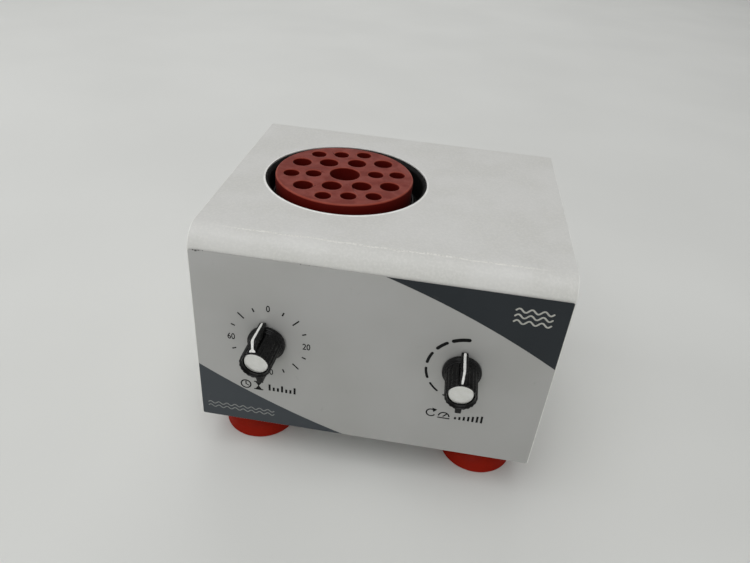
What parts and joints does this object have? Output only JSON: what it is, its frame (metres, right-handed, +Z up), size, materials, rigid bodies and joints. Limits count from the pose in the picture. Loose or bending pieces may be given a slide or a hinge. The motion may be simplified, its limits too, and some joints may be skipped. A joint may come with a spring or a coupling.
{
  "type": "vortex mixer",
  "caption": "Bench vortex mixer: sheet-metal case on suction feet, orbiting soft tube rack on top, timer and speed knobs in front.",
  "frame": {"origin": "middle of the bounding box, on the surface that the feet stand on", "axes": "+Z up, the front panel with its knobs faces -Y, +X to the right seen from the front"},
  "size_m": [0.2044, 0.201, 0.1582],
  "materials": {
    "powder_coat": "orange-peel powder coat",
    "label_film": "matt printed film",
    "zinc_sheet": "zinc-plated",
    "screw_steel": "plated",
    "bright_steel": "ground",
    "motor_can": "blackened",
    "cast_aluminium": "cast",
    "timer_case": "pressed case, mostly hollow on the real one",
    "cast_iron": "machined",
    "brass": "turned",
    "red_silicone": "moulded, matt",
    "red_rubber": "moulded, satin",
    "black_rubber": "moulded, matt",
    "black_plastic": "moulded, satin",
    "knob_metal": "spun",
    "laminate": "solder mask",
    "blue_sleeve": "shrink sleeve",
    "white_plastic": "moulded"
  },
  "bodies": {
    "base": {"base_plate": "zinc_sheet", "board_spacer_1": "brass", "board_spacer_2": "brass", "board_spacer_3": "brass", "board_spacer_4": "brass", "bridge_screw_1": "screw_steel", "bridge_screw_2": "screw_steel", "bridge_screw_3": "screw_steel", "bridge_screw_4": "screw_steel", "control_board": "laminate", "cover_screw_1": "screw_steel", "cover_screw_2": "screw_steel", "cover_screw_3": "screw_steel", "cover_screw_4": "screw_steel", "dust_boot": "black_rubber", "filter_capacitor": "blue_sleeve", "foot_screw_1": "screw_steel", "foot_screw_2": "screw_steel", "foot_screw_3": "screw_steel", "foot_screw_4": "screw_steel", "front_label": "label_film", "heat_sink": "cast_aluminium", "housing_shell": "powder_coat", "motor_body": "motor_can", "motor_bridge": "zinc_sheet", "motor_end_bell": "cast_aluminium", "motor_screw_1": "screw_steel", "motor_screw_2": "screw_steel", "power_inlet": "black_plastic", "speed_nut": "brass", "speed_potentiometer": "timer_case", "suction_foot_1": "red_rubber", "suction_foot_2": "red_rubber", "suction_foot_3": "red_rubber", "suction_foot_4": "red_rubber", "support_post_1": "black_rubber", "support_post_2": "black_rubber", "support_post_3": "black_rubber", "switch_body": "black_plastic", "terminal_block": "white_plastic", "timer_body": "timer_case", "timer_nut": "brass"},
    "crank": {"crank_hub": "cast_iron", "hub_set_screw": "screw_steel", "bearing_outer_ring": "bright_steel", "motor_shaft": "bright_steel", "cooling_fan": "black_plastic"},
    "platform": {"platform_tray": "black_plastic", "tray_screw": "screw_steel", "spindle": "bright_steel", "bearing_inner_ring": "bright_steel"},
    "rack": {"rack_disc": "red_silicone"},
    "timer": {"timer_knob": "black_plastic", "timer_knob_cap": "knob_metal", "timer_shaft": "bright_steel"},
    "speed": {"speed_knob": "black_plastic", "speed_knob_cap": "knob_metal", "speed_shaft": "bright_steel"},
    "rocker": {"switch_rocker": "black_plastic"},
    "drawer": {"fuse_drawer": "black_plastic"}
  },
  "joints": [
    {"name": "crank_spin", "type": "hinge", "parent": "base", "child": "crank", "pos_m": [-0.0315, 0.0088, 0.1], "axis": [0, 0, 1], "continuous": true},
    {"name": "platform_orbit", "type": "hinge", "parent": "crank", "child": "platform", "pos_m": [-0.0327, 0.0072, 0.13], "axis": [0, 0, 1], "continuous": true},
    {"name": "rack_lift", "type": "slide", "parent": "platform", "child": "rack", "axis": [0, 0, 1], "range_m": [0, 0.03]},
    {"name": "timer_turn", "type": "hinge", "parent": "base", "child": "timer", "pos_m": [-0.0577, -0.0785, 0.0906], "axis": [0, 1, 0], "range_deg": [0, 280]},
    {"name": "speed_turn", "type": "hinge", "parent": "base", "child": "speed", "pos_m": [0.051, -0.0785, 0.0906], "axis": [0, 1, 0], "range_deg": [-150, 150]},
    {"name": "switch_rock", "type": "hinge", "parent": "base", "child": "rocker", "pos_m": [0.014, 0.0963, 0.076], "axis": [1, 0, 0], "range_deg": [-16, 0]},
    {"name": "fuse_drawer_slide", "type": "slide", "parent": "base", "child": "drawer", "axis": [0, 1, 0], "range_m": [0, 0.02]}
  ],
  "couplings": [
    {"joint": "platform_orbit", "follows": "crank_spin", "ratio": -1}
  ]
}
